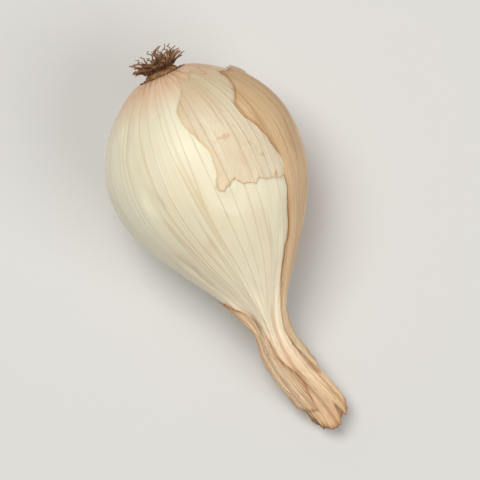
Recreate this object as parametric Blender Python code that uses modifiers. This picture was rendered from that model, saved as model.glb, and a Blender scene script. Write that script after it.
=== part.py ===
"""An onion set: one small dormant onion bulb with its dried neck, lying on its side as picked.

Metres, +Z up. The bulb rests on a small flat spot whose centre is the origin. Its root end points
towards +Y and its neck towards -Y. Each piece is modelled standing on its root end, in the bulb's
own frame, and is then laid down by its location and rotation.

In the bulb's own frame a point is given by three numbers: along, the distance from the root end
towards the neck; turn, the angle round the bulb from its upper side (local +Y) towards its right
side (local +X); and the distance from the centre line.
"""

import math
import random

import bmesh
import bpy
from mathutils import Matrix, Vector, noise

# Driving dimensions of the bulb.
BULB_RADIUS = 0.0124
WIDEST_AT = 0.0135
BASE_FULLNESS = 0.62
SHOULDER_LENGTH = 0.0230
SHOULDER_FULLNESS = 0.70
NECK_RADIUS = 0.0017
ROOT_DIMPLE_DEPTH = 0.0008
ROOT_DIMPLE_RADIUS = 0.0029

# The neck dries into a flat papery end.
FLAT_FROM = 0.0335
FLAT_FULL_AT = 0.0445
FLAT_HALF_WIDTH = 0.0023
FLAT_HALF_THICKNESS = 0.0006
FLAT_ROLL = math.radians(16)
FLAT_BOW = 0.0005
FLAT_CREASE = 0.0004
TIP_FROM = 0.0475
TIP_AT = 0.0510
TIP_SLANT = -0.0008

# Soft relief: broad lobes on the body, and twisted pleats where the neck has dried.
LOBES = ((2, 0.012, math.radians(100)), (3, 0.011, math.radians(35)))
PLEATS = 6
PLEAT_DEPTH = 0.15
PLEATS_FROM = 0.0250
PLEATS_FULL_AT = 0.0350
PLEAT_TWIST = math.radians(5500)

# How the neck bends: the sideways shift of its centre line at distances along the bulb, and how far
# it droops at the tip.
NECK_SWAY = ((0.0240, 0), (0.0375, -0.0009), (0.0510, 0.0020))
DROOP_FROM = 0.0240
NECK_DROOP = 0.0018

# The bulb lies with its neck end tipped down, on a belly that has gone slightly flat.
REST_TILT = math.radians(12)
REST_FLAT_DEPTH = 0.0006

# Dried skins.
LEAF_THICKNESS = 0.0006
SKIN_GAP = 0.0003

# The corky root plate and the dried roots on it.
PLATE_RADIUS = 0.0022
PLATE_THICKNESS = 0.0006
ROOTS = 34
ROOT_RADIUS = 0.0003
ROOT_TIP_SHARE = 0.7
ROOT_SINK = 0.0004
SHORTEST_ROOT = 0.0008
LONGEST_ROOT = 0.0027
ROOT_STEPS = 5
ROOT_SEED = 11

# How finely the solids are divided.
SIDES = 56
BASE_STEPS = 12
SHOULDER_STEPS = 16
NECK_STEPS = 10
TIP_STEPS = 5

COLOURS = {
    "bulb": (0.78, 0.69, 0.47, 1),
    "outer_skin": (0.56, 0.36, 0.18, 1),
    "neck_leaf": (0.60, 0.37, 0.19, 1),
    "root_tuft": (0.34, 0.20, 0.09, 1),
}


def smooth_step(low, high, value):
    """0 below low, 1 above high, and an even curve between them."""
    share = min(max((value - low) / (high - low), 0), 1)
    return share * share * (3 - 2 * share)


def between(stations, along):
    """The value at a distance along the bulb, eased between (distance, value) stations."""
    if along <= stations[0][0]:
        return stations[0][1]
    for (start, first), (end, second) in zip(stations, stations[1:]):
        if along <= end:
            return first + (second - first) * smooth_step(start, end, along)
    return stations[-1][1]


def neck_radius(along):
    """Half the neck's width, which grows where the neck goes flat and closes round at the tip."""
    width = NECK_RADIUS + (FLAT_HALF_WIDTH - NECK_RADIUS) * smooth_step(FLAT_FROM, FLAT_FULL_AT, along)
    share = min(max(along - TIP_FROM, 0) / (TIP_AT - TIP_FROM), 1)
    return width * (1 - share**2.4) ** (1 / 2.4)


def bulb_radius(along):
    """Radius of the turned bulb: a round base, then a shoulder that falls away to the neck."""
    if along < WIDEST_AT:
        return BULB_RADIUS * max(1 - (1 - along / WIDEST_AT) ** 2, 0) ** BASE_FULLNESS
    share = min((along - WIDEST_AT) / SHOULDER_LENGTH, 1)
    fall = ((1 + math.cos(math.pi * share)) / 2) ** SHOULDER_FULLNESS
    return neck_radius(along) + (BULB_RADIUS - neck_radius(along)) * fall


def base_height(radius):
    """Where the base's surface lies along the bulb, drawn in at the root end as a dimple."""
    round_part = WIDEST_AT * (1 - math.sqrt(1 - (radius / BULB_RADIUS) ** (1 / BASE_FULLNESS)))
    return round_part + ROOT_DIMPLE_DEPTH * math.exp(-((radius / ROOT_DIMPLE_RADIUS) ** 4))


def centre_line(along):
    """Sideways and upward shift of the bulb's centre line."""
    share = max(along - DROOP_FROM, 0) / (TIP_AT - DROOP_FROM)
    return Vector((between(NECK_SWAY, along), -NECK_DROOP * share**2, 0))


def lobes(along, turn):
    """What the radius is multiplied by on the body, so that it isn't quite round."""
    on_body = smooth_step(0.0, 0.006, along) * (1 - smooth_step(0.020, 0.032, along))
    return 1 + on_body * sum(depth * math.cos(count * turn + phase) for count, depth, phase in LOBES)


def pleats(along, turn):
    """What the radius is multiplied by on the neck, whose folds run round it in a slow twist."""
    fold = math.cos(PLEATS * turn + PLEAT_TWIST * (along - PLEATS_FROM))
    return 1 - PLEAT_DEPTH * smooth_step(PLEATS_FROM, PLEATS_FULL_AT, along) * (1 - fold) / 2


def flattened(along, turn, distance):
    """Across and upward place in the section, squeezed where the neck goes flat."""
    flat = smooth_step(FLAT_FROM, FLAT_FULL_AT, along)
    width = neck_radius(along)
    squeeze = 1 + (FLAT_HALF_THICKNESS / FLAT_HALF_WIDTH - 1) * flat
    swing = turn - FLAT_ROLL
    across = distance * math.sin(swing)
    upright = math.cos(swing)
    up = distance * squeeze * math.copysign(abs(upright) ** (1 - 0.4 * flat), upright)
    place = across / max(width, SKIN_GAP)
    up += flat * (FLAT_CREASE * math.sin(2.6 * place + 0.7) - FLAT_BOW * place**2)
    return across, up


def round_point(along, turn, distance):
    """The point at a turn and a distance from the centre line."""
    across, up = flattened(along, turn, distance)
    cosine, sine = math.cos(FLAT_ROLL), math.sin(FLAT_ROLL)
    section = Vector((across * cosine + up * sine, up * cosine - across * sine, along))
    section.z += TIP_SLANT * smooth_step(TIP_FROM - 0.004, TIP_AT, along) * across / FLAT_HALF_WIDTH
    return centre_line(along) + section


def resting_place():
    """The matrix that lays the bulb down, its lowest stretch cut off flat at the origin."""
    laid = Matrix.Rotation(math.pi / 2 + REST_TILT, 4, "X")
    steps = 600
    stations = (WIDEST_AT * 2 * i / steps for i in range(1, steps))
    underside = (laid @ round_point(along, math.pi, bulb_radius(along)) for along in stations)
    lowest = min(underside, key=lambda point: point.z)
    return Matrix.Translation((0, -lowest.y, -lowest.z - REST_FLAT_DEPTH)) @ laid


def material(name):
    """A plain matt material in the piece's colour."""
    made = bpy.data.materials.new(name)
    made.use_nodes = True
    shader = made.node_tree.nodes["Principled BSDF"]
    shader.inputs["Base Color"].default_value = COLOURS[name]
    shader.inputs["Roughness"].default_value = 0.55
    shader.inputs["Metallic"].default_value = 0
    return made


def add_object(name, mesh, collection):
    """A new object for a mesh, in a collection."""
    made = bpy.data.objects.new(name, mesh)
    collection.objects.link(made)
    return made


def replace_with_mesh(obj, weld=1e-6):
    """The object again as a plain mesh, with points that coincide joined."""
    bpy.context.view_layer.update()
    graph = bpy.context.evaluated_depsgraph_get()
    mesh = bpy.data.meshes.new_from_object(obj.evaluated_get(graph))
    shape = bmesh.new()
    shape.from_mesh(mesh)
    bmesh.ops.remove_doubles(shape, verts=shape.verts, dist=weld)
    shape.to_mesh(mesh)
    shape.free()
    name, collection, place = obj.name, obj.users_collection[0], obj.matrix_world.copy()
    bpy.data.objects.remove(obj)
    made = add_object(name, mesh, collection)
    made.matrix_world = place
    return made


def turned(name, profile, collection):
    """A solid turned round local Z from (radius, height) points that run down its outer side."""
    mesh = bpy.data.meshes.new(name)
    edges = [(i, i + 1) for i in range(len(profile) - 1)]
    mesh.from_pydata([(radius, 0, height) for radius, height in profile], edges, [])
    obj = add_object(name, mesh, collection)
    screw = obj.modifiers.new("turn", "SCREW")
    screw.steps = screw.render_steps = SIDES
    screw.use_merge_vertices = True
    screw.merge_threshold = 1e-6
    return replace_with_mesh(obj)


def bulb_profile():
    """The bulb's outline from the tip of its dried neck down to the middle of the root end."""
    shoulder_end = WIDEST_AT + SHOULDER_LENGTH
    stretches = (
        (TIP_AT, TIP_FROM, TIP_STEPS),
        (TIP_FROM, shoulder_end, NECK_STEPS),
        (shoulder_end, WIDEST_AT, SHOULDER_STEPS),
    )
    points = []
    for start, end, steps in stretches:
        for step in range(steps):
            share = step / steps
            if start == TIP_AT:
                share = 1 - math.cos(math.pi / 2 * share)
            along = start + (end - start) * share
            points.append((bulb_radius(along), along))
    for step in range(BASE_STEPS):
        radius = BULB_RADIUS * math.cos(math.pi / 2 * step / BASE_STEPS)
        points.append((radius, base_height(radius)))
    points.append((0, base_height(0)))
    return points


def make_bulb(collection, floor):
    """The fleshy bulb in its tight skin, with its neck dried flat, as one solid."""
    bulb = turned("bulb", bulb_profile(), collection)
    for vertex in bulb.data.vertices:
        x, y, along = vertex.co
        turn = math.atan2(x, y)
        distance = math.hypot(x, y) * lobes(along, turn) * pleats(along, turn)
        vertex.co = round_point(along, turn, distance)
    bulb.matrix_world = resting_place()
    rest_flat = bulb.modifiers.new("rest_flat", "BOOLEAN")
    rest_flat.operation = "DIFFERENCE"
    rest_flat.object = floor
    bulb.data.shade_smooth()
    return bulb


def make_floor_cutter(collection):
    """The block under the floor that cuts the belly flat."""
    side = 4 * BULB_RADIUS
    bpy.ops.mesh.primitive_cube_add(size=side, location=(0, 0, -side / 2))
    floor = bpy.context.object
    floor.name = "floor_cutter"
    for owner in floor.users_collection:
        owner.objects.unlink(floor)
    collection.objects.link(floor)
    floor.hide_render = True
    floor.display_type = "WIRE"
    return floor


class Skin:
    """A dried skin that lies on the bulb and on its neck, with torn edges.

    start and end are where it begins and ends along the bulb, and edges holds its low and its high
    side as stations of (along, turn in degrees). rises holds how far it has lifted off the bulb at
    its low side, in its middle and at its high side. tear is how far its sides wander, as a share
    of its width, and end_tear is how far its two ends do.
    """

    def __init__(self, start, end, edges, rises, tear, end_tear, seed):
        self.start = start
        self.end = end
        self.edges = edges
        self.rises = rises
        self.tear = tear
        self.end_tear = end_tear
        self.seed = seed

    def wander(self, place, line):
        """How far a torn line strays, from about -1 to 1, at a place along it."""
        return 2 * noise.noise(Vector((place, self.seed + line, 0.5)))

    def point(self, lengthwise, across):
        """A point of the skin. lengthwise runs from 0 to 1 and across from -1 to 1."""
        start = self.start + self.end_tear * self.wander(1.6 * across, 5)
        end = self.end + self.end_tear * self.wander(1.6 * across, 9)
        along = start + (end - start) * lengthwise
        low, high = (math.radians(between(edge, along)) for edge in self.edges)
        torn = 1 + self.tear * self.wander(260 * along, math.copysign(2, across))
        turn = (low + high) / 2 + (high - low) / 2 * across * torn
        low_rise, middle_rise, high_rise = (between(rise, along) for rise in self.rises)
        edge_rise = high_rise if across > 0 else low_rise
        rise = middle_rise + (edge_rise - middle_rise) * abs(across) ** 3
        return round_point(along, turn, bulb_radius(along) * lobes(along, turn) + SKIN_GAP + rise)


OUTER_SKIN = Skin(
    start=0.0038,
    end=0.0428,
    edges=(
        ((0.0038, 56), (0.0080, 34), (0.0160, 46), (0.0230, 44), (0.0290, 38), (0.0360, 46), (0.0430, 66)),
        ((0.0038, 98), (0.0080, 134), (0.0160, 143), (0.0240, 143), (0.0300, 134), (0.0370, 112), (0.0430, 96)),
    ),
    rises=(
        ((0.0038, 0.0003), (0.0100, 0.0005), (0.0240, 0.0003), (0.0310, 0.0001)),
        ((0.0038, 0.0001), (0.0100, 0), (0.0340, 0), (0.0390, 0.0001), (0.0430, 0.0001)),
        ((0.0038, 0.0003), (0.0100, 0.0005), (0.0290, 0.0003), (0.0385, 0.0004), (0.0430, 0.0002)),
    ),
    tear=0.06,
    end_tear=0.0009,
    seed=3.0,
)
NECK_LEAF = Skin(
    start=0.0300,
    end=0.0470,
    edges=(
        ((0.0300, -92), (0.0345, -112), (0.0400, -100), (0.0470, -82)),
        ((0.0300, -64), (0.0345, -34), (0.0385, -14), (0.0430, 6), (0.0470, -10)),
    ),
    rises=(
        ((0.0300, 0.0002), (0.0340, 0.0001), (0.0410, 0.0001), (0.0470, 0.0003)),
        ((0.0300, 0.0001), (0.0340, 0), (0.0410, 0.0001), (0.0470, 0.0003)),
        ((0.0300, 0.0002), (0.0340, 0.0001), (0.0410, 0.0002), (0.0470, 0.0005)),
    ),
    tear=0.05,
    end_tear=0.0006,
    seed=8.0,
)


def make_skin(name, skin, lengthwise, crosswise, collection):
    """A skin as a sheet of even thickness, grown outwards from the surface that it lies on."""
    shape = bmesh.new()
    bmesh.ops.create_grid(shape, x_segments=crosswise, y_segments=lengthwise, size=1)
    for vertex in shape.verts:
        across, lengthways = vertex.co.x, (vertex.co.y + 1) / 2
        vertex.co = skin.point(lengthways, across)
    bmesh.ops.reverse_faces(shape, faces=shape.faces)
    bmesh.ops.triangulate(shape, faces=shape.faces)
    mesh = bpy.data.meshes.new(name)
    shape.to_mesh(mesh)
    shape.free()
    obj = add_object(name, mesh, collection)
    obj.matrix_world = resting_place()
    thick = obj.modifiers.new("thickness", "SOLIDIFY")
    thick.thickness = LEAF_THICKNESS
    thick.offset = 1
    obj.data.shade_smooth()
    return obj


def root_path(start_radius, turn, length, splay, curl):
    """Points of one dried root, from inside the plate outwards, curling as it goes."""
    away = Vector((math.sin(turn), math.cos(turn), 0))
    side = Vector((math.cos(turn), -math.sin(turn), 0))
    point = away * start_radius
    point.z = base_height(0) - SKIN_GAP - PLATE_THICKNESS + ROOT_SINK
    step = (length + ROOT_SINK) / ROOT_STEPS
    path = [point.copy()]
    for i in range(ROOT_STEPS):
        lean = splay + curl[0] * i
        heading = Vector((0, 0, -1)) * math.cos(lean) + away * math.sin(lean) + side * math.sin(curl[1] * i)
        point += heading.normalized() * step
        path.append(point.copy())
    return path


def make_roots(collection):
    """Every dried root as its own small tube, for the union with the plate."""
    draw = random.Random(ROOT_SEED)
    golden_angle = math.pi * (3 - math.sqrt(5))
    for i in range(ROOTS):
        share = math.sqrt((i + 0.5) / ROOTS)
        path = root_path(
            start_radius=share * (PLATE_RADIUS - 2 * ROOT_RADIUS),
            turn=i * golden_angle,
            length=draw.uniform(SHORTEST_ROOT, LONGEST_ROOT),
            splay=0.10 + 0.50 * share**2,
            curl=(draw.uniform(-0.05, 0.22), draw.uniform(-0.25, 0.25)),
        )
        curve = bpy.data.curves.new("root", "CURVE")
        curve.dimensions = "3D"
        curve.bevel_depth = ROOT_RADIUS
        curve.bevel_resolution = 1
        curve.use_fill_caps = True
        spline = curve.splines.new("POLY")
        spline.points.add(len(path) - 1)
        for j, point in enumerate(path):
            spline.points[j].co = (*point, 1)
            spline.points[j].radius = 1 - (1 - ROOT_TIP_SHARE) * j / ROOT_STEPS
        replace_with_mesh(add_object("root", curve, collection))


def plate_profile():
    """The root plate's outline: a low corky button that fits the dimple with a small gap."""
    steps = 5
    rim = base_height(PLATE_RADIUS) - SKIN_GAP
    face = base_height(0) - SKIN_GAP - PLATE_THICKNESS
    inner = [(PLATE_RADIUS * i / steps, base_height(PLATE_RADIUS * i / steps) - SKIN_GAP) for i in range(steps)]
    outer = []
    for i in range(steps):
        swing = math.pi / 2 * i / steps
        outer.append((PLATE_RADIUS * math.cos(swing), rim + (face - rim) * math.sin(swing)))
    return inner + outer + [(0, face)]


def make_root_tuft(collection, helpers):
    """The root plate with its dried roots, joined into one solid."""
    plate = turned("root_tuft", plate_profile(), collection)
    make_roots(helpers)
    join = plate.modifiers.new("join_roots", "BOOLEAN")
    join.operation = "UNION"
    join.operand_type = "COLLECTION"
    join.collection = helpers
    tuft = replace_with_mesh(plate)
    for root in list(helpers.objects):
        bpy.data.objects.remove(root)
    tuft.matrix_world = resting_place()
    return tuft


def main():
    for obj in list(bpy.data.objects):
        bpy.data.objects.remove(obj)
    onion = bpy.data.collections.new("onion_set")
    cutters = bpy.data.collections.new("cutters")
    roots = bpy.data.collections.new("roots")
    for collection in (onion, cutters, roots):
        bpy.context.scene.collection.children.link(collection)
    floor = make_floor_cutter(cutters)
    pieces = (
        make_bulb(onion, floor),
        make_skin("outer_skin", OUTER_SKIN, 40, 16, onion),
        make_skin("neck_leaf", NECK_LEAF, 20, 10, onion),
        make_root_tuft(onion, roots),
    )
    bpy.data.collections.remove(roots)
    for piece in pieces:
        piece.data.materials.append(material(piece.name))


main()
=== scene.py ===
"""The looks of one onion set: a small dormant bulb that lies on its belly, its neck dried flat.

Every piece is grown by a geometry node tree in the bulb's own frame, where it stands on its root
end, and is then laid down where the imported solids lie. A point of the bulb is given by along, the
distance from the root end, and turn, the angle round it from its upper side to its right side.
"""

import math

import bpy
from mathutils import Matrix, Vector


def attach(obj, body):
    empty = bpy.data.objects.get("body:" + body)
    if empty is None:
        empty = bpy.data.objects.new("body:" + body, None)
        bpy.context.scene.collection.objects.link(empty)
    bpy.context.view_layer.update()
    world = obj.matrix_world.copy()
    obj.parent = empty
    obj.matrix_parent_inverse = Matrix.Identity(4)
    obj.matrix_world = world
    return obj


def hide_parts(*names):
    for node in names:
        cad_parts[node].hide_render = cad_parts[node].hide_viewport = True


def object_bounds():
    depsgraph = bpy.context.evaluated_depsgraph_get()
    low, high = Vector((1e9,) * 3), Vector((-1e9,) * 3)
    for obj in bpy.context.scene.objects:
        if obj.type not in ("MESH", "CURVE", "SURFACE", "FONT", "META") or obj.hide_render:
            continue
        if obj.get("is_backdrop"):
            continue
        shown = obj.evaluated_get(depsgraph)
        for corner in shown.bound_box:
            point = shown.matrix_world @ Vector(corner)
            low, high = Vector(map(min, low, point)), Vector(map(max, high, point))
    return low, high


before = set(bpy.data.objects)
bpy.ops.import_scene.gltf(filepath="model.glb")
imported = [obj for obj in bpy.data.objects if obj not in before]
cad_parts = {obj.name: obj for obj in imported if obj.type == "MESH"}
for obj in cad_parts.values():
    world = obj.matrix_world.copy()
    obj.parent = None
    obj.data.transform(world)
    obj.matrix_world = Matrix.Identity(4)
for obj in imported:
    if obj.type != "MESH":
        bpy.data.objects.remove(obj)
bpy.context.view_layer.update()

# The bulb's sizes, as its solids have them, in metres.
WIDEST_AT = 0.0135
BASE_FULLNESS = 0.62
SHOULDER_FULLNESS = 0.70
ROOT_DIMPLE_DEPTH = 0.0008
ROOT_DIMPLE_RADIUS = 0.0029
FLAT_FROM = 0.0335
FLAT_FULL_AT = 0.0445
FLAT_ROLL = math.radians(16)
FLAT_BOW = 0.0005
FLAT_CREASE = 0.0004
TIP_FROM = 0.0475
TIP_AT = 0.0510
TIP_SLANT = -0.0008
LOBES = ((2, 0.012, math.radians(100)), (3, 0.011, math.radians(35)))
PLEATS = 6
PLEATS_FROM = 0.0250
PLEATS_FULL_AT = 0.0350
PLEAT_TWIST = math.radians(5500)
NECK_SWAY = ((0.0240, 0), (0.0375, -0.0009), (0.0510, 0.0020))
DROOP_FROM = 0.0240
REST_TILT = math.radians(12)
REST_FLAT_DEPTH = 0.0006
SKIN_GAP = 0.0003
PLATE_RADIUS = 0.0022
PLATE_THICKNESS = 0.0006
PLATE_FACE = ROOT_DIMPLE_DEPTH - SKIN_GAP - PLATE_THICKNESS

# The heights of the surface's relief, in metres, and how many ribs run round it.
SWELL_HEIGHT = 0.00027
DENT_DEPTH = 0.00030
RIBS = 38
RIB_HEIGHT = 0.00005
SILK_HEIGHT = 0.000025
SHOULDER_FOLD_HEIGHT = 0.00012
NECK_FOLD_HEIGHT = 0.00008
CRUMPLE_HEIGHT = 0.00014
CRINKLE_HEIGHT = 0.00003

# The flat neck: how square its section goes, its crease, its rolled sides and its thicker tip.
FLAT_SQUARENESS = 0.4
CREASE_WAVES = 2.6
CREASE_PHASE = 0.7
RIGHT_ROLL = 0.0008
LEFT_ROLL = -0.0002
TIP_THICKENING = 0.0004

# The ragged mouth of the neck: how round its rim is, how frayed, its nick and its wall.
RIM_ROUNDNESS = 2.4
RIM_FRAY = 0.0009
NICK_SIDE = 0.22
NICK_WIDTH = 0.13
NICK_DEPTH = 0.0026
WALL_SHARE = 0.22

# The dried sheets: how thick they are, how far they follow the pleats, and how unevenly they
# curl and tear.
SKIN_THICKNESS = 0.00010
FILM_THICKNESS = 0.00005
COLLAR_THICKNESS = 0.00008
SKIN_PLEATING = 0.6
CURL_UNEVENNESS = 0.8
FINE_TEAR_SHARE = 0.22
PUCKERS = 23
PUCKER_HEIGHT = 0.00007
COLLAR_CRUMPLE = 0.00006

# The root plate: how far it is sunk into the bulb, and how uneven its rim and its face are.
PLATE_SINK = 0.0001
PLATE_UNEVENNESS = 0.06
PLATE_CRUMBLE = 0.00018

# A dried root: its points, its sides, the angles it may lean by, its bend and its knobs.
STRAND_POINTS = 11
STRAND_SIDES = 6
LEAST_LEAN, MOST_LEAN = -0.40, 0.60
STRAND_BEND = 0.35
KNOB_SHARE = 0.25
STRAND_SINK = 0.0003

# Points nearer to each other than this are one point. The root plate's rim needs the finer one.
WELD = 1e-6
FINE_WELD = 1e-7

# How many points of the belly's underside are tried to find the lowest.
UNDERSIDE_STEPS = 600

# The studio and the camera.
FLOOR_SIZE = 6
FLOOR_COLOUR = (0.66, 0.66, 0.65, 1)
FLOOR_ROUGHNESS = 0.8
WORLD_COLOUR = (1.0, 0.99, 0.97, 1)
WORLD_STRENGTH = 0.26
CAMERA_AZIMUTH = math.radians(-25)
CAMERA_ELEVATION = math.radians(84)
CAMERA_DISTANCE = 0.30
CAMERA_LENS = 180
CAMERA_CLIP_START = 0.01

BULB_SIZES = {
    "Belly radius": 0.0124,
    "Shoulder length": 0.0230,
    "Neck radius": 0.0017,
    "Pleat depth": 0.17,
    "Flat half width": 0.0023,
    "Flat half thickness": 0.0006,
    "Neck droop": 0.0018,
}


# Fields: numbers and vectors that flow through a node tree.


class Field:
    """A value in a node tree. Arithmetic on it adds the nodes that work the result out."""

    def __init__(self, tree, socket):
        self.tree = tree
        self.socket = socket

    def __add__(self, other):
        return calculate("ADD", self, other)

    def __radd__(self, other):
        return calculate("ADD", other, self)

    def __sub__(self, other):
        return calculate("SUBTRACT", self, other)

    def __rsub__(self, other):
        return calculate("SUBTRACT", other, self)

    def __mul__(self, other):
        return calculate("MULTIPLY", self, other)

    def __rmul__(self, other):
        return calculate("MULTIPLY", other, self)

    def __truediv__(self, other):
        return calculate("DIVIDE", self, other)

    def __pow__(self, other):
        return calculate("POWER", self, other)


def plug(value, socket):
    """Links a field to a socket, or sets the socket to a plain value."""
    if isinstance(value, Field):
        value.tree.links.new(value.socket, socket)
    else:
        socket.default_value = value


def calculate(operation, *values):
    """What a Math node gives for fields and plain numbers."""
    tree = next(value.tree for value in values if isinstance(value, Field))
    node = tree.nodes.new("ShaderNodeMath")
    node.operation = operation
    for value, socket in zip(values, node.inputs):
        plug(value, socket)
    return Field(tree, node.outputs[0])


def sine(angle):
    return calculate("SINE", angle)


def cosine(angle):
    return calculate("COSINE", angle)


def magnitude(value):
    return calculate("ABSOLUTE", value)


def sign(value):
    return calculate("SIGN", value)


def greatest(first, second):
    return calculate("MAXIMUM", first, second)


def least(first, second):
    return calculate("MINIMUM", first, second)


def fade(distance, reach):
    """1 where a distance is nothing, and falling away over a reach."""
    share = distance / reach
    return calculate("EXPONENT", share * share * -1)


def ease(low, high, value):
    """0 below low, 1 above high, and an even curve between them."""
    node = value.tree.nodes.new("ShaderNodeMapRange")
    node.interpolation_type = "SMOOTHSTEP"
    plug(value, node.inputs["Value"])
    plug(low, node.inputs["From Min"])
    plug(high, node.inputs["From Max"])
    return Field(value.tree, node.outputs["Result"])


def between(stations, along):
    """The value at a distance along the bulb, eased between (distance, value) stations."""
    total = stations[0][1]
    for (start, first), (end, second) in zip(stations, stations[1:]):
        total = total + (second - first) * ease(start, end, along)
    return total


def vector(x, y, z):
    """A vector field from three values."""
    tree = next(value.tree for value in (x, y, z) if isinstance(value, Field))
    node = tree.nodes.new("ShaderNodeCombineXYZ")
    for value, socket in zip((x, y, z), node.inputs):
        plug(value, socket)
    return Field(tree, node.outputs[0])


def parts(field):
    """The three values of a vector field."""
    node = field.tree.nodes.new("ShaderNodeSeparateXYZ")
    plug(field, node.inputs[0])
    return [Field(field.tree, socket) for socket in node.outputs]


def noise_at(place, detail=2.0, seed=0.0):
    """Smooth noise at a place, from about -1 to 1."""
    node = place.tree.nodes.new("ShaderNodeTexNoise")
    node.noise_dimensions = "4D"
    plug(place, node.inputs["Vector"])
    node.inputs["W"].default_value = seed
    node.inputs["Scale"].default_value = 1
    node.inputs["Detail"].default_value = detail
    return (Field(place.tree, node.outputs[0]) - 0.5) * 3


def around(turn, along, crowding, stretch):
    """A place for a pattern that has no seam round the bulb and runs together at its ends."""
    return vector(sine(turn) * crowding, cosine(turn) * crowding, along * stretch)


# Geometry node trees.


class Maker:
    """A geometry node tree that grows one piece, with a named input for each of its sizes."""

    def __init__(self, name, sizes):
        self.tree = bpy.data.node_groups.new(name, "GeometryNodeTree")
        self.sizes = sizes
        self.sockets = {}
        for label, value in sizes.items():
            kind = "NodeSocketInt" if isinstance(value, int) else "NodeSocketFloat"
            self.sockets[label] = self.socket(label, "INPUT", kind)
        self.socket("Geometry", "OUTPUT", "NodeSocketGeometry")
        self.inputs = self.tree.nodes.new("NodeGroupInput")
        self.geometry = None

    def socket(self, label, way, kind):
        """A new input or output of the tree itself."""
        return self.tree.interface.new_socket(label, in_out=way, socket_type=kind)

    def __getitem__(self, label):
        return Field(self.tree, self.inputs.outputs[label])

    def node(self, kind, values=(), **settings):
        """A new node with its settings, and its inputs set by name."""
        made = self.tree.nodes.new(kind)
        for name, setting in settings.items():
            setattr(made, name, setting)
        for name, value in dict(values).items():
            plug(value, made.inputs[name])
        return made

    def field(self, kind):
        """The field that an input node gives."""
        return Field(self.tree, self.tree.nodes.new(kind).outputs[0])

    def start(self, node):
        """The geometry begins with this node's output."""
        self.geometry = node.outputs[0]

    def then(self, kind, values=(), **settings):
        """Passes the geometry through a node."""
        node = self.node(kind, values, **settings)
        self.tree.links.new(self.geometry, node.inputs[0])
        self.geometry = node.outputs[0]

    def keep(self, name, value, kind="FLOAT"):
        """Stores a field on the points, for the material to read."""
        self.then("GeometryNodeStoreNamedAttribute", {"Name": name, "Value": value}, data_type=kind)

    def grid(self, columns, rows):
        """Starts from a flat grid, and returns how far each point is across and up it, from 0 to 1."""
        corners = {"Vertices X": columns, "Vertices Y": rows}
        self.start(self.node("GeometryNodeMeshGrid", {"Size X": 1.0, "Size Y": 1.0, **corners}))
        x, y, _ = parts(self.field("GeometryNodeInputPosition"))
        return x + 0.5, y + 0.5

    def finish(self, material):
        """Ends the tree with smooth, real, painted geometry."""
        self.then("GeometryNodeSetShadeSmooth")
        self.then("GeometryNodeRealizeInstances")
        self.then("GeometryNodeSetMaterial", {"Material": material})
        end = self.tree.nodes.new("NodeGroupOutput")
        self.tree.links.new(self.geometry, end.inputs[0])


def grown(name, maker):
    """The plain mesh object that a maker's tree gives, laid down where the bulb rests."""
    holder = bpy.data.objects.new(name + "_maker", bpy.data.meshes.new(name))
    bpy.context.scene.collection.objects.link(holder)
    modifier = holder.modifiers.new("grow", "NODES")
    modifier.node_group = maker.tree
    for label, value in maker.sizes.items():
        modifier[maker.sockets[label].identifier] = value
    graph = bpy.context.evaluated_depsgraph_get()
    mesh = bpy.data.meshes.new_from_object(holder.evaluated_get(graph))
    bpy.data.objects.remove(holder)
    mesh.transform(resting_place())
    piece = bpy.data.objects.new(name, mesh)
    bpy.context.scene.collection.objects.link(piece)
    return piece


def resting_place():
    """The matrix that lays the bulb down, its lowest stretch cut off flat at the origin."""
    laid = Matrix.Rotation(math.pi / 2 + REST_TILT, 4, "X")
    underside = []
    for step in range(1, UNDERSIDE_STEPS):
        along = WIDEST_AT * 2 * step / UNDERSIDE_STEPS
        base = (1 - max(1 - along / WIDEST_AT, 0) ** 2) ** BASE_FULLNESS
        share = max(along - WIDEST_AT, 0) / BULB_SIZES["Shoulder length"]
        fall = ((1 + math.cos(math.pi * share)) / 2) ** SHOULDER_FULLNESS
        neck = BULB_SIZES["Neck radius"]
        radius = base * (neck + (BULB_SIZES["Belly radius"] - neck) * fall)
        underside.append(laid @ Vector((0, -radius, along)))
    lowest = min(underside, key=lambda point: point.z)
    return Matrix.Translation((0, -lowest.y, -lowest.z - REST_FLAT_DEPTH)) @ laid


# The bulb's surface.


def half_width(size, along):
    """Half the neck's width, which grows where the neck goes flat."""
    growth = size["Flat half width"] - size["Neck radius"]
    return size["Neck radius"] + growth * ease(FLAT_FROM, FLAT_FULL_AT, along)


def turned_radius(size, along):
    """The turned bulb's radius: a round base, then a shoulder that falls away to the neck."""
    inward = greatest(1 - along / WIDEST_AT, 0)
    base = greatest(1 - inward * inward, 0) ** BASE_FULLNESS
    share = least(greatest(along - WIDEST_AT, 0) / size["Shoulder length"], 1)
    fall = greatest((1 + cosine(share * math.pi)) / 2, 0) ** SHOULDER_FULLNESS
    neck = half_width(size, along)
    return base * (neck + (size["Belly radius"] - neck) * fall)


def lobes(along, turn):
    """What the radius is multiplied by on the body, so that it isn't quite round."""
    on_body = ease(0.0, 0.006, along) * (1 - ease(0.020, 0.032, along))
    return 1 + on_body * sum(depth * cosine(count * turn + phase) for count, depth, phase in LOBES)


def pleat_fold(along, turn):
    """How far a place is down in a pleat of the neck, from 0 on a crest to 1 in a fold."""
    wander = noise_at(around(turn, along, 0.9, 60), seed=4.0) * 0.9
    fold = cosine(PLEATS * turn + PLEAT_TWIST * (along - PLEATS_FROM) + wander)
    return ease(PLEATS_FROM, PLEATS_FULL_AT, along) * (1 - fold) / 2


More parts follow.
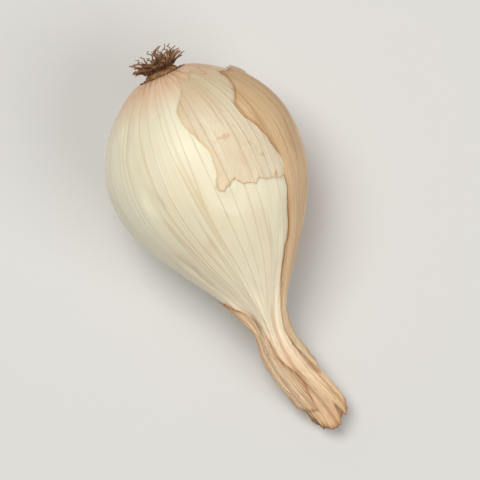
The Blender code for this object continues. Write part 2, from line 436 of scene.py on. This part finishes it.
def undulation(along, turn):
    """The soft swells and hollows of the body, in metres."""
    broad = noise_at(around(turn, along, 1.4, 115), detail=1.0, seed=1.0) * SWELL_HEIGHT
    hollow = ease(0.45, 0.95, noise_at(around(turn, along, 2.3, 150), detail=0.0, seed=2.0))
    return (broad - hollow * DENT_DEPTH) * ease(0.001, 0.006, along)


def ribbing(along, turn):
    """Fine ribs that run from the root end to the neck, in metres."""
    sway = noise_at(around(turn, along, 1.2, 45), seed=3.0) * 2.2
    strength = greatest(0.5 + 0.8 * noise_at(around(turn, along, 2.0, 60), seed=5.0), 0)
    rib = greatest(cosine(RIBS * turn + sway), 0) ** 5 * strength * RIB_HEIGHT
    silk = noise_at(around(turn, along, 16, 50), detail=3.0, seed=6.0) * SILK_HEIGHT
    return (rib + silk) * ease(0.0005, 0.004, along)


def wrinkles(along, turn):
    """The drawn-up folds of the shoulder and the crumpled ones of the dried neck, in metres."""
    drawn = ease(0.022, 0.036, along)
    dried = ease(0.031, 0.040, along)
    folds = 1 - magnitude(noise_at(around(turn, along, 3.2, 70), detail=3.0, seed=7.0)) * 2
    crinkle = noise_at(around(turn, along, 4.0, 620), detail=3.0, seed=8.0)
    fine_folds = 1 - magnitude(noise_at(around(turn, along, 6.0, 200), detail=2.0, seed=9.0)) * 2
    crumple = 1 - magnitude(noise_at(around(turn, along, 2.4, 480), detail=3.0, seed=10.0)) * 2
    drawn_up = drawn * (folds * SHOULDER_FOLD_HEIGHT + crinkle * CRINKLE_HEIGHT)
    crumpled = fine_folds * NECK_FOLD_HEIGHT + crumple * CRUMPLE_HEIGHT + crinkle * CRINKLE_HEIGHT
    return drawn_up + dried * crumpled


def body_radius(size, along, turn):
    """The bulb's radius without its relief."""
    return turned_radius(size, along) * lobes(along, turn)


def relief(size, along, turn, pleating=1):
    """How far the bulb's surface stands proud of its plain form, in metres."""
    pleats = turned_radius(size, along) * pleat_fold(along, turn) * size["Pleat depth"] * pleating
    return undulation(along, turn) + ribbing(along, turn) + wrinkles(along, turn) - pleats


def placed(size, along, turn, radius, proud):
    """The point at a turn, a plain radius and a relief, its section squeezed where the neck is flat."""
    flat = ease(FLAT_FROM, FLAT_FULL_AT, along)
    reach = half_width(size, along)
    thickness = size["Flat half thickness"] + TIP_THICKENING * ease(TIP_FROM, TIP_AT, along)
    squeeze = 1 + (thickness / reach - 1) * flat
    swing = turn - FLAT_ROLL
    across = (radius + proud) * sine(swing)
    upright = cosine(swing)
    squared = sign(upright) * magnitude(upright) ** (1 - FLAT_SQUARENESS * flat)
    up = radius * squeeze * squared + proud * upright
    place = across / reach
    rolled = RIGHT_ROLL * ease(0.45, 1.0, place) + LEFT_ROLL * ease(-0.5, -1.0, place)
    crease = FLAT_CREASE * sine(CREASE_WAVES * place + CREASE_PHASE)
    up = up + flat * (crease - FLAT_BOW * place * place + rolled)
    cosine_roll, sine_roll = math.cos(FLAT_ROLL), math.sin(FLAT_ROLL)
    bend = greatest(along - DROOP_FROM, 0) / (TIP_AT - DROOP_FROM)
    slant = TIP_SLANT * ease(TIP_FROM - 0.004, TIP_AT, along) * across / size["Flat half width"]
    near_root = 1 - ease(0.002, 0.006, along)
    ring = radius / ROOT_DIMPLE_RADIUS
    dimple = ROOT_DIMPLE_DEPTH * calculate("EXPONENT", ring * ring * ring * ring * -1) * near_root
    return vector(
        across * cosine_roll + up * sine_roll + between(NECK_SWAY, along),
        up * cosine_roll - across * sine_roll - size["Neck droop"] * bend * bend,
        along + slant + dimple,
    )


def grain_of(along, turn):
    """What the materials read to know where on the bulb they are: its turn as a circle, and along."""
    return vector(sine(turn), cosine(turn), along / WIDEST_AT)


# Materials.


def paint(red, green, blue):
    """A colour in screen values from 0 to 255, as the shaders need it."""
    shares = (channel / 255 for channel in (red, green, blue))
    return (*(s / 12.92 if s <= 0.04045 else ((s + 0.055) / 1.055) ** 2.4 for s in shares), 1.0)


def mixed(first, second, share):
    """A colour between two others."""
    node = share.tree.nodes.new("ShaderNodeMix")
    node.data_type = "RGBA"
    plug(share, node.inputs[0])
    plug(first, node.inputs[6])
    plug(second, node.inputs[7])
    return Field(share.tree, node.outputs[2])


class Finish:
    """A material on one Principled shader, painted in layers."""

    def __init__(self, name, **sockets):
        self.material = bpy.data.materials.new(name)
        self.material.use_nodes = True
        self.tree = self.material.node_tree
        self.shader = self.tree.nodes["Principled BSDF"]
        for label, value in sockets.items():
            self.shader.inputs[label.replace("_", " ")].default_value = value

    def attribute(self, name, output="Fac"):
        """A field that the mesh carries."""
        node = self.tree.nodes.new("ShaderNodeAttribute")
        node.attribute_name = name
        return Field(self.tree, node.outputs[output])

    def object_place(self, scale):
        """The place on the object, scaled for a pattern."""
        coordinates = self.tree.nodes.new("ShaderNodeTexCoord")
        node = self.tree.nodes.new("ShaderNodeVectorMath")
        node.operation = "SCALE"
        node.inputs["Scale"].default_value = scale
        self.tree.links.new(coordinates.outputs["Object"], node.inputs[0])
        return Field(self.tree, node.outputs[0])

    def set(self, label, value):
        plug(value, self.shader.inputs[label])

    def bump(self, height, distance):
        """Raises the surface by a height field, in metres at a height of 1."""
        node = self.tree.nodes.new("ShaderNodeBump")
        node.inputs["Strength"].default_value = 1
        node.inputs["Distance"].default_value = distance
        plug(height, node.inputs["Height"])
        self.tree.links.new(node.outputs["Normal"], self.shader.inputs["Normal"])


def scaled(grain, crowding, stretch):
    """The grain's place for a pattern, crowded round the bulb and stretched along it."""
    x, y, z = parts(grain)
    return vector(x * crowding, y * crowding, z * stretch)


def vein_lines(grain, seed):
    """Thin veins that run lengthwise and here and there meet: 1 on a vein, 0 off it."""
    ridge = 1 - magnitude(noise_at(scaled(grain, 7.0, 0.25), detail=1.0, seed=seed))
    return ease(0.90, 1.0, ridge)


def bulb_finish():
    """The bulb's own tight skin: cream, faintly green, satin, drier and tanner towards both ends, with
    painted shade deep in the neck's pleats.
    """
    finish = Finish(
        "bulb_skin",
        Subsurface_Weight=0.10,
        Subsurface_Radius=(1.0, 0.7, 0.4),
        Subsurface_Scale=0.0012,
        Coat_Weight=0.08,
        Coat_Roughness=0.30,
    )
    grain = finish.attribute("grain", "Vector")
    along = parts(grain)[2] * WIDEST_AT
    torn = finish.attribute("edge")
    fold = finish.attribute("fold")

    broad = noise_at(scaled(grain, 1.2, 0.9), detail=2.0, seed=11.0)
    streak = noise_at(scaled(grain, 9.0, 0.55), detail=4.0, seed=12.0)
    line = noise_at(scaled(grain, 34.0, 0.8), detail=3.0, seed=13.0)
    blotch = noise_at(scaled(grain, 2.6, 2.0), detail=5.0, seed=14.0)
    speck = noise_at(scaled(grain, 16.0, 14.0), detail=2.0, seed=15.0)
    green = noise_at(scaled(grain, 1.6, 1.3), detail=1.0, seed=16.0)
    crinkle = noise_at(scaled(grain, 12.0, 9.0), detail=4.0, seed=17.0)
    veins = vein_lines(grain, 18.0)

    colour = mixed(paint(233, 228, 202), paint(228, 219, 190), ease(-0.4, 0.5, broad))
    colour = mixed(colour, paint(217, 213, 172), ease(0.1, 0.9, green) * 0.45)
    colour = mixed(colour, paint(226, 206, 176), ease(-0.1, 0.9, streak) * 0.55)
    colour = mixed(colour, paint(206, 176, 132), ease(0.25, 0.8, line) * 0.30)
    colour = mixed(colour, paint(204, 178, 132), veins * (0.12 + 0.36 * ease(-0.4, 0.5, broad)))
    colour = mixed(colour, paint(214, 184, 144), ease(0.30, 0.85, blotch) * 0.55)
    colour = mixed(colour, paint(186, 130, 80), ease(0.62, 0.85, speck) * 0.55)

    root_end = 1 - ease(0.0010, 0.0056, along + streak * 0.0016)
    colour = mixed(colour, paint(224, 172, 130), root_end * 0.7)
    soil = (1 - ease(0.0006, 0.0032, along)) * ease(-0.2, 0.6, crinkle)
    colour = mixed(colour, paint(150, 106, 66), soil * 0.7)
    neck = ease(0.0210, 0.0380, along + streak * 0.003 + blotch * 0.002)
    colour = mixed(colour, paint(252, 236, 208), neck * 0.85)
    dry = ease(0.0330, 0.0440, along + streak * 0.003)
    colour = mixed(colour, paint(238, 198, 152), dry * 0.72)
    tip = ease(0.0420, 0.0500, along + streak * 0.003)
    colour = mixed(colour, paint(208, 164, 118), tip * 0.55)
    colour = mixed(colour, paint(166, 112, 70), ease(0.25, 0.80, crinkle) * tip * 0.55)
    colour = mixed(colour, paint(170, 118, 70), ease(0.35, 0.9, line + crinkle * 0.5) * neck * 0.30)
    # Painted shade: brown darkening deep in the neck's pleat folds, where the folds fall into shade.
    colour = mixed(colour, paint(164, 112, 62), ease(0.75, 1.0, fold) * neck * 0.40)
    colour = mixed(colour, paint(156, 96, 44), least(torn * (0.75 + streak * 0.5), 1))
    finish.set("Base Color", colour)
    finish.set("Roughness", 0.45 + 0.08 * streak + 0.15 * neck)
    finish.bump(line * 0.5 + streak * 0.5 + veins * 0.8 + crinkle * (0.15 + 0.85 * neck), 0.00004)
    return finish.material


def dry_skin_finish(
    name, light, middle, dark, rim, rim_strength=1.0, root_tone=0.0, neck_tone=0.0, freckles=0.0
):
    """A papery skin: streaked along its veins, browner in patches and at its torn rim.

    The tones say how much darker it gets at the root end, and how much paler on the neck.
    """
    finish = Finish(
        name,
        Subsurface_Weight=0.15,
        Subsurface_Radius=(1.0, 0.6, 0.3),
        Subsurface_Scale=0.0006,
        Coat_Weight=0.10,
        Coat_Roughness=0.35,
    )
    grain = finish.attribute("grain", "Vector")
    torn = finish.attribute("edge")
    streak = noise_at(scaled(grain, 10.0, 0.6), detail=4.0, seed=21.0)
    line = noise_at(scaled(grain, 38.0, 0.9), detail=3.0, seed=22.0)
    blotch = noise_at(scaled(grain, 2.4, 1.8), detail=5.0, seed=23.0)
    along = parts(grain)[2] * WIDEST_AT
    colour = mixed(light, middle, ease(-0.4, 0.5, blotch + streak * 0.4))
    on_neck = ease(0.0290, 0.0350, along + streak * 0.0014)
    colour = mixed(colour, paint(252, 222, 182), on_neck * neck_tone)
    veins = vein_lines(grain, 25.0)
    colour = mixed(colour, dark, ease(0.1, 0.8, line) * 0.45)
    colour = mixed(colour, dark, ease(0.3, 0.9, blotch) * 0.5)
    colour = mixed(colour, dark, veins * 0.45)
    near_root = 1 - ease(0.0030, 0.0080, along + streak * 0.0014)
    colour = mixed(colour, dark, near_root * root_tone)
    freckle = noise_at(scaled(grain, 7.0, 7.0), detail=5.0, seed=26.0)
    colour = mixed(colour, paint(204, 144, 84), ease(0.30, 0.70, freckle) * freckles)
    toasted = greatest(least(torn * (0.6 + streak * 0.9 + blotch * 0.6), 1), 0)
    colour = mixed(colour, rim, toasted * rim_strength)
    finish.set("Base Color", colour)
    finish.set("Roughness", 0.50 + 0.10 * streak)
    crinkle = noise_at(scaled(grain, 9.0, 8.0), detail=4.0, seed=24.0)
    finish.bump(line * 0.6 + crinkle * 0.7 + veins, 0.00005)
    return finish.material


def cork_finish():
    """The root plate: corky, cracked, brown."""
    finish = Finish("root_plate", Roughness=0.85)
    crumb = noise_at(finish.object_place(1400), detail=5.0, seed=31.0)
    crack = noise_at(finish.object_place(3000), seed=32.0)
    colour = mixed(paint(120, 84, 52), paint(176, 132, 86), ease(-0.5, 0.6, crumb))
    colour = mixed(colour, paint(70, 46, 28), ease(0.2, 0.8, crack))
    finish.set("Base Color", colour)
    finish.bump(crumb, 0.00008)
    return finish.material


def root_finish():
    """The dried roots: golden brown, darker at some, paler towards their tips."""
    finish = Finish("dried_roots", Roughness=0.7)
    draw = finish.attribute("draw")
    reach = finish.attribute("reach")
    colour = mixed(paint(74, 44, 28), paint(146, 102, 68), draw)
    colour = mixed(colour, paint(182, 140, 100), ease(0.3, 1.0, reach) * 0.4)
    patch = noise_at(finish.object_place(2200), detail=3.0, seed=33.0)
    colour = mixed(colour, paint(84, 54, 32), ease(0.1, 0.9, patch) * 0.6)
    finish.set("Base Color", colour)
    finish.bump(patch, 0.00004)
    return finish.material


# Pieces.


def bulb_maker(material):
    """The bulb from its root end to the ragged mouth of its neck, and back down inside the mouth."""
    size = Maker("Bulb", {**BULB_SIZES, "Sides": 300, "Rings": 300, "Inner end": 0.0400})
    u, v = size.grid(size["Sides"], size["Rings"])
    turn = (u * 2 - 1) * math.pi
    base_rows, outer_rows = 0.24, 0.92
    swing = least(v / base_rows, 1) * (math.pi / 2)
    climb = least(greatest(v - base_rows, 0) / (outer_rows - base_rows), 1)
    back = greatest(v - outer_rows, 0) / (1 - outer_rows)

    side = sine(turn - FLAT_ROLL)
    front = ease(-0.3, 0.3, cosine(turn - FLAT_ROLL))
    corner = greatest(1 - magnitude(side) ** RIM_ROUNDNESS, 0) ** (1 / RIM_ROUNDNESS)
    frayed = noise_at(vector(side * 2.4, front * 3, 0.0), detail=4.0, seed=41.0) * RIM_FRAY
    nick = fade(side - NICK_SIDE, NICK_WIDTH) * front * NICK_DEPTH
    rim = TIP_FROM + (TIP_AT - TIP_FROM) * corner + frayed - nick

    along = WIDEST_AT * (1 - cosine(swing)) + climb * (rim - WIDEST_AT)
    along = along - back * (rim - size["Inner end"])
    hollow = (1 - WALL_SHARE * ease(0.0, 0.06, back)) * (1 - ease(0.85, 1.0, back))
    size.keep("grain", grain_of(along, turn), "FLOAT_VECTOR")
    size.keep("edge", fade(rim - along, 0.0006) * ease(0.030, 0.040, along))
    # How deep each point lies in a pleat, which the skin's material darkens as painted shade.
    size.keep("fold", pleat_fold(along, turn))
    radius, proud = body_radius(size, along, turn) * hollow, relief(size, along, turn) * hollow
    size.then("GeometryNodeSetPosition", {"Position": placed(size, along, turn, radius, proud)})
    size.then("GeometryNodeMergeByDistance", {"Distance": WELD})
    size.then("GeometryNodeFlipFaces")
    size.finish(material)
    return size


def skin_maker(name, sizes, edges, rises, material, seed):
    """A thin dried skin that lies on the bulb between two torn sides, lifted where rises says.

    edges holds its low and its high side as stations of (along, turn in degrees), and rises how far
    it has lifted off the bulb at its low side, in its middle and at its high side.
    """
    size = Maker(name, {**BULB_SIZES, **sizes})
    u, v = size.grid(size["Columns"], size["Rows"])
    across = u * 2 - 1
    side = sign(across)
    end_line = across * size["End waves"]
    start_tear = noise_at(vector(end_line, 0.0, 0.0), detail=4.0, seed=seed + 1)
    end_tear = noise_at(vector(end_line, 5.0, 0.0), detail=4.0, seed=seed + 2)
    start = size["Start"] + size["End tear"] * start_tear
    end = size["End"] + size["End slant"] * across + size["End tear"] * end_tear
    along = start + (end - start) * v
    torn_line = vector(along * 260, side * 4, 0.0)
    nicks = noise_at(vector(along * 1300, side * 4, 0.0), detail=2.0, seed=seed + 6)
    side_tear = noise_at(torn_line, detail=5.0, seed=seed + 3) + FINE_TEAR_SHARE * nicks
    torn = 1 + size["Side tear"] * side_tear
    low, high = (between(edge, along) * (math.pi / 180) for edge in edges)
    turn = (low + high) / 2 + (high - low) / 2 * across * torn

    low_rise, middle_rise, high_rise = (between(rise, along) for rise in rises)
    edge_rise = low_rise + (high_rise - low_rise) * ease(-0.1, 0.1, across)
    unevenness = noise_at(vector(along * 170, side * 3, 0.0), seed=seed + 4)
    curl = greatest(1 + CURL_UNEVENNESS * unevenness, 0)
    lift = middle_rise + (edge_rise * curl - middle_rise) * magnitude(across) ** 4
    peel = size["End peel"] * ease(0.86, 1.0, v) * ease(0.8, 0.2, across) * curl
    crinkle = noise_at(around(turn, along, 6, 420), detail=3.0, seed=seed + 5)
    to_side = (1 - magnitude(across)) * (high - low) / 2 * turned_radius(size, along)
    to_end = least(along - start, end - along)
    size.keep("grain", grain_of(along, turn), "FLOAT_VECTOR")
    size.keep("edge", fade(least(to_side, to_end), size["Rim"]))
    risen = greatest(lift + peel + size["Crinkle"] * (0.6 + crinkle), 0)
    proud = relief(size, along, turn, SKIN_PLEATING) + size["Gap"] + risen
    radius = body_radius(size, along, turn)
    size.then("GeometryNodeSetPosition", {"Position": placed(size, along, turn, radius, proud)})
    size.then("GeometryNodeFlipFaces")
    size.finish(material)
    return size


def thickened(piece, thickness):
    """Gives a sheet its thickness, outwards from what it lies on."""
    solid = piece.modifiers.new("thickness", "SOLIDIFY")
    solid.thickness = thickness
    solid.offset = 1
    return piece


def plate_maker(material):
    """The low corky button that the roots grow from, fitted into the dimple of the root end."""
    sizes = {
        "Belly radius": BULB_SIZES["Belly radius"],
        "Radius": PLATE_RADIUS,
        "Sides": 120,
        "Rings": 90,
    }
    size = Maker("Root plate", sizes)
    u, v = size.grid(size["Sides"], size["Rings"])
    turn = (u * 2 - 1) * math.pi
    swing = v * math.pi
    ring = vector(sine(turn) * 2, cosine(turn) * 2, 0.0)
    uneven = 1 + PLATE_UNEVENNESS * noise_at(ring, detail=3.0, seed=51.0)
    distance = size["Radius"] * sine(swing) * uneven
    inner = base_height(size, distance) - PLATE_SINK
    rim = base_height(size, size["Radius"] * uneven) - PLATE_SINK
    outer = rim + (PLATE_FACE - rim) * magnitude(cosine(swing))
    x, y = sine(turn) * distance, cosine(turn) * distance
    crumble = noise_at(vector(x * 1500, y * 1500, 0.0), detail=4.0, seed=52.0) * PLATE_CRUMBLE
    front = ease(0.5, 0.56, v)
    height = inner + (outer - inner - crumble) * front
    size.then("GeometryNodeSetPosition", {"Position": vector(x, y, height)})
    size.then("GeometryNodeMergeByDistance", {"Distance": FINE_WELD})
    size.finish(material)
    return size


def collar_maker(material):
    """The torn stumps of old skins that ring the root plate, in a ragged collar.

    Its gap is below nothing, so that its inner face dips under the bulb's skin and its outer
    face lies close on it.
    """
    sizes = {
        "Belly radius": BULB_SIZES["Belly radius"],
        "Inner radius": 0.0019,
        "Outer radius": 0.0028,
        "Tear": 0.0008,
        "Gap": -0.00002,
        "Upturn": 0.0003,
        "Sides": 260,
        "Rings": 24,
    }
    size = Maker("Collar", sizes)
    u, v = size.grid(size["Sides"], size["Rings"])
    turn = (u * 2 - 1) * math.pi
    ring = vector(sine(turn) * 2.6, cosine(turn) * 2.6, 0.0)
    outer = size["Outer radius"] + size["Tear"] * noise_at(ring, detail=5.0, seed=55.0)
    inner = size["Inner radius"] + 0.0001 * noise_at(ring, detail=3.0, seed=56.0)
    distance = inner + (outer - inner) * v
    x, y = sine(turn) * distance, cosine(turn) * distance
    pucker = cosine(turn * PUCKERS + 3 * noise_at(ring, seed=57.0)) * PUCKER_HEIGHT
    crumple = noise_at(vector(x * 900, y * 900, 0.0), detail=3.0, seed=58.0) * COLLAR_CRUMPLE
    torn = greatest(0.6 + noise_at(ring, detail=2.0, seed=59.0), 0)
    turned_up = size["Upturn"] * torn * ease(0.35, 0.0, v) + 0.00007 * ease(0.6, 1.0, v) * torn
    rise = greatest(turned_up + pucker + crumple, 0)
    size.keep("grain", vector(sine(turn), cosine(turn), distance / WIDEST_AT), "FLOAT_VECTOR")
    size.keep("edge", fade(outer - distance, 0.0003))
    height = base_height(size, distance) - size["Gap"] - rise
    size.then("GeometryNodeSetPosition", {"Position": vector(x, y, height)})
    size.then("GeometryNodeMergeByDistance", {"Distance": WELD})
    size.then("GeometryNodeFlipFaces")
    size.finish(material)
    return size


def base_height(size, distance):
    """Where the base's surface lies along the bulb, at a distance from the centre line."""
    share = distance / size["Belly radius"]
    ring = distance / ROOT_DIMPLE_RADIUS
    dimple = ROOT_DIMPLE_DEPTH * calculate("EXPONENT", ring * ring * ring * ring * -1)
    return WIDEST_AT * (1 - calculate("SQRT", 1 - share ** (1 / BASE_FULLNESS))) + dimple


def strand_maker(name, sizes, material, seed):
    """Dried strands that stand out from a disc, splayed and curled, each its own length."""
    size = Maker(name, sizes)
    index = size.field("GeometryNodeInputIndex")
    share = calculate("SQRT", (index + 0.5) / size["Count"])
    turn = index * (math.pi * (3 - math.sqrt(5)))
    away_x, away_y = sine(turn), cosine(turn)
    foot = vector(away_x * share * size["Spread"], away_y * share * size["Spread"], 0.0)
    size.start(size.node("GeometryNodePoints", {"Count": size["Count"], "Position": foot}))

    def drawn(low, high, offset):
        node = size.node("FunctionNodeRandomValue", data_type="FLOAT")
        for label, value in (("Min", low), ("Max", high)):
            plug(value, next(s for s in node.inputs if s.name == label and s.enabled))
        next(s for s in node.inputs if s.name == "Seed").default_value = seed + offset
        return Field(size.tree, next(s for s in node.outputs if s.enabled))

    size.keep("draw", drawn(0.0, 1.0, 0))
    worn = drawn(0.0, 1.0, 1)
    size.keep("long", size["Shortest"] + (size["Longest"] - size["Shortest"]) * worn * worn ** 0.5)
    size.keep("lean", size["Splay"] * share * share + drawn(LEAST_LEAN, MOST_LEAN, 2))
    size.keep("away", vector(away_x, away_y, 0.0), "FLOAT_VECTOR")
    line = size.node("GeometryNodeCurvePrimitiveLine")
    resampled = size.node("GeometryNodeResampleCurve", {"Count": STRAND_POINTS})
    size.tree.links.new(line.outputs[0], resampled.inputs["Curve"])
    instances = size.node("GeometryNodeInstanceOnPoints")
    size.tree.links.new(size.geometry, instances.inputs["Points"])
    size.tree.links.new(resampled.outputs[0], instances.inputs["Instance"])
    size.start(instances)
    size.then("GeometryNodeRealizeInstances")

    def carried(label, kind="FLOAT"):
        node = size.node("GeometryNodeInputNamedAttribute", {"Name": label}, data_type=kind)
        return Field(size.tree, next(s for s in node.outputs if s.enabled and s.name == "Attribute"))

    reach = size.field("GeometryNodeSplineParameter")
    draw, long, lean = carried("draw"), carried("long"), carried("lean")
    away = parts(carried("away", "FLOAT_VECTOR"))
    foot_x, foot_y, _ = parts(size.field("GeometryNodeInputPosition"))
    curl = size["Curl"] * reach * reach
    wander = vector(draw * 90, reach * 3.0, 0.0)
    wave = [noise_at(wander, detail=1.0, seed=seed + 10.0 + axis) * curl for axis in range(2)]
    bend = lean + reach * STRAND_BEND
    out = long * reach * sine(bend)
    strand = vector(
        foot_x + away[0] * out + wave[0],
        foot_y + away[1] * out + wave[1],
        size["Foot"] - long * reach * cosine(bend),
    )
    size.keep("reach", reach)
    size.then("GeometryNodeSetPosition", {"Position": strand})
    thinning = 1 - size["Thinning"] * reach
    knobbly = 1 + KNOB_SHARE * noise_at(vector(draw * 70, reach * 6, 0.0), seed=seed + 20.0)
    circle = {"Resolution": STRAND_SIDES, "Radius": 1.0}
    profile = size.node("GeometryNodeCurvePrimitiveCircle", circle)
    girth = size["Thickness"] / 2 * thinning * knobbly * (0.55 + 0.9 * draw)
    tube = size.node("GeometryNodeCurveToMesh", {"Scale": girth, "Fill Caps": True})
    size.tree.links.new(size.geometry, tube.inputs["Curve"])
    size.tree.links.new(profile.outputs[0], tube.inputs["Profile Curve"])
    size.start(tube)
    size.finish(material)
    return size


def set_down(piece):
    """Nothing reaches below the floor: the belly is flat where it rests."""
    for vertex in piece.data.vertices:
        if vertex.co.z < 0:
            vertex.co.z = 0


def fitted(piece, slot, *nodes):
    """Puts a finished piece on the bulb's body, in place of the solids that it stands for."""
    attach(piece, "root")
    if nodes:
        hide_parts(*nodes)


def make_pieces():
    """Every piece of the onion set."""
    bulb = grown("bulb_skin", bulb_maker(bulb_finish()))
    set_down(bulb)
    fitted(bulb, "bulb_skin", "bulb")

    tan = dry_skin_finish(
        "torn_skin",
        paint(222, 186, 142),
        paint(206, 166, 120),
        paint(172, 126, 80),
        paint(170, 120, 70),
        neck_tone=0.85,
    )
    torn_skin = skin_maker(
        "Torn skin",
        {
            "Start": 0.0036,
            "End": 0.0430,
            "End slant": -0.0009,
            "End tear": 0.0007,
            "End waves": 1.8,
            "End peel": 0.0,
            "Side tear": 0.08,
            "Gap": 0.00012,
            "Crinkle": 0.00006,
            "Rim": 0.0003,
            "Columns": 150,
            "Rows": 250,
        },
        (
            (
                (0.0038, 56),
                (0.0080, 34),
                (0.0160, 46),
                (0.0230, 44),
                (0.0290, 38),
                (0.0360, 46),
                (0.0430, 66),
            ),
            (
                (0.0038, 98),
                (0.0080, 134),
                (0.0160, 143),
                (0.0240, 143),
                (0.0300, 134),
                (0.0370, 112),
                (0.0430, 96),
            ),
        ),
        (
            ((0.0038, 0.0002), (0.0100, 0.0001), (0.0190, 0.0), (0.0250, 0.00015), (0.0310, 0.0001)),
            ((0.0038, 0.0001), (0.0100, 0.0), (0.0340, 0.0), (0.0390, 0.0001), (0.0430, 0.0002)),
            ((0.0038, 0.0005), (0.0100, 0.0008), (0.0290, 0.0006), (0.0385, 0.0005), (0.0430, 0.0004)),
        ),
        tan,
        60.0,
    )
    fitted(thickened(grown("torn_skin", torn_skin), SKIN_THICKNESS), "dry_skin", "outer_skin")

    straw = dry_skin_finish(
        "neck_strip",
        paint(234, 204, 168),
        paint(222, 184, 144),
        paint(178, 126, 82),
        paint(158, 98, 50),
    )
    neck_strip = skin_maker(
        "Neck strip",
        {
            "Start": 0.0302,
            "End": 0.0470,
            "End slant": 0.0006,
            "End tear": 0.0008,
            "End waves": 1.5,
            "End peel": 0.0001,
            "Side tear": 0.08,
            "Gap": 0.00008,
            "Crinkle": 0.00008,
            "Rim": 0.0003,
            "Columns": 80,
            "Rows": 160,
        },
        (
            ((0.0300, -92), (0.0345, -112), (0.0400, -100), (0.0470, -82)),
            ((0.0300, -64), (0.0345, -34), (0.0385, -14), (0.0430, 6), (0.0470, -10)),
        ),
        (
            ((0.0300, 0.0), (0.0340, 0.0001), (0.0410, 0.0001), (0.0470, 0.0003)),
            ((0.0300, 0.0), (0.0340, 0.0), (0.0410, 0.0001), (0.0470, 0.0002)),
            ((0.0300, 0.0), (0.0340, 0.0), (0.0410, 0.0002), (0.0470, 0.0004)),
        ),
        straw,
        80.0,
    )
    fitted(thickened(grown("neck_strip", neck_strip), SKIN_THICKNESS), "dry_leaf", "neck_leaf")

    pale = dry_skin_finish(
        "pale_film",
        paint(234, 218, 188),
        paint(228, 206, 172),
        paint(214, 184, 144),
        paint(216, 166, 104),
        rim_strength=0.6,
        root_tone=0.6,
        freckles=0.65,
    )
    pale_film = skin_maker(
        "Pale film",
        {
            "Start": 0.0022,
            "End": 0.0172,
            "End slant": 0.0016,
            "End tear": 0.0017,
            "End waves": 2.5,
            "End peel": 0.00012,
            "Side tear": 0.10,
            "Gap": 0.00003,
            "Crinkle": 0.00004,
            "Rim": 0.0003,
            "Columns": 150,
            "Rows": 130,
        },
        (
            ((0.0022, 10), (0.0060, -4), (0.0120, 4), (0.0172, -2)),
            ((0.0022, 66), (0.0080, 54), (0.0172, 60)),
        ),
        (
            ((0.0022, 0.0), (0.0100, 0.00003), (0.0172, 0.00008)),
            ((0.0022, 0.0), (0.0172, 0.0)),
            ((0.0022, 0.0), (0.0172, 0.0)),
        ),
        pale,
        100.0,
    )
    fitted(thickened(grown("pale_film", pale_film), FILM_THICKNESS), "dry_skin")

    husk = dry_skin_finish(
        "collar",
        paint(196, 150, 104),
        paint(168, 120, 78),
        paint(122, 80, 46),
        paint(112, 70, 38),
    )
    collar = thickened(grown("collar", collar_maker(husk)), COLLAR_THICKNESS)
    fitted(collar, "dry_skin", "root_tuft")

    plate = grown("root_plate", plate_maker(cork_finish()))
    fitted(plate, "dry_root", "root_tuft")

    strands = strand_maker(
        "Dried roots",
        {
            "Count": 150,
            "Spread": 0.0019,
            "Shortest": 0.0006,
            "Longest": 0.0028,
            "Thickness": 0.00028,
            "Thinning": 0.6,
            "Splay": 0.40,
            "Curl": 0.0016,
            "Foot": PLATE_FACE + STRAND_SINK,
        },
        root_finish(),
        7,
    )
    fitted(grown("dried_roots", strands), "dry_root", "root_tuft")


# The studio.


def make_studio():
    """A plain pale floor under soft light from the upper left of the picture."""
    bpy.ops.mesh.primitive_plane_add(size=FLOOR_SIZE, location=(0, 0, 0))
    floor = bpy.context.object
    floor.name = "floor"
    finish = Finish("floor", Roughness=FLOOR_ROUGHNESS)
    finish.set("Base Color", FLOOR_COLOUR)
    floor.data.materials.append(finish.material)
    floor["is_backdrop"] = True

    world = bpy.data.worlds.new("studio")
    world.use_nodes = True
    background = world.node_tree.nodes["Background"]
    background.inputs["Color"].default_value = WORLD_COLOUR
    background.inputs["Strength"].default_value = WORLD_STRENGTH
    bpy.context.scene.world = world

    # Each light's name, place, width, power and colour.
    lights = (
        ("key", (-0.07, 0.15, 0.46), 0.26, 1.66, (1.0, 0.97, 0.93)),
        ("fill", (0.20, -0.32, 0.36), 0.36, 1.15, (1.0, 0.98, 0.96)),
    )
    for name, place, width, power, colour in lights:
        light = bpy.data.lights.new(name, "AREA")
        light.size = width
        light.energy = power
        light.color = colour
        lamp = bpy.data.objects.new(name, light)
        lamp.location = place
        lamp.rotation_euler = Vector(place).to_track_quat("Z", "Y").to_euler()
        bpy.context.scene.collection.objects.link(lamp)


def make_camera():
    """A long lens that looks down square on to the bulb's length, its neck to the lower right."""
    level = math.cos(CAMERA_ELEVATION)
    back = Vector(
        (
            math.sin(CAMERA_AZIMUTH) * level,
            -math.cos(CAMERA_AZIMUTH) * level,
            math.sin(CAMERA_ELEVATION),
        )
    )
    low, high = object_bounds()
    focus = (low + high) / 2
    data = bpy.data.cameras.new("camera")
    data.lens = CAMERA_LENS
    data.clip_start = CAMERA_CLIP_START
    camera = bpy.data.objects.new("camera", data)
    camera.location = focus + back * CAMERA_DISTANCE
    camera.rotation_euler = back.to_track_quat("Z", "Y").to_euler()
    bpy.context.scene.collection.objects.link(camera)
    bpy.context.scene.camera = camera


make_pieces()
make_studio()
make_camera()
bpy.context.scene.view_settings.view_transform = "Standard"
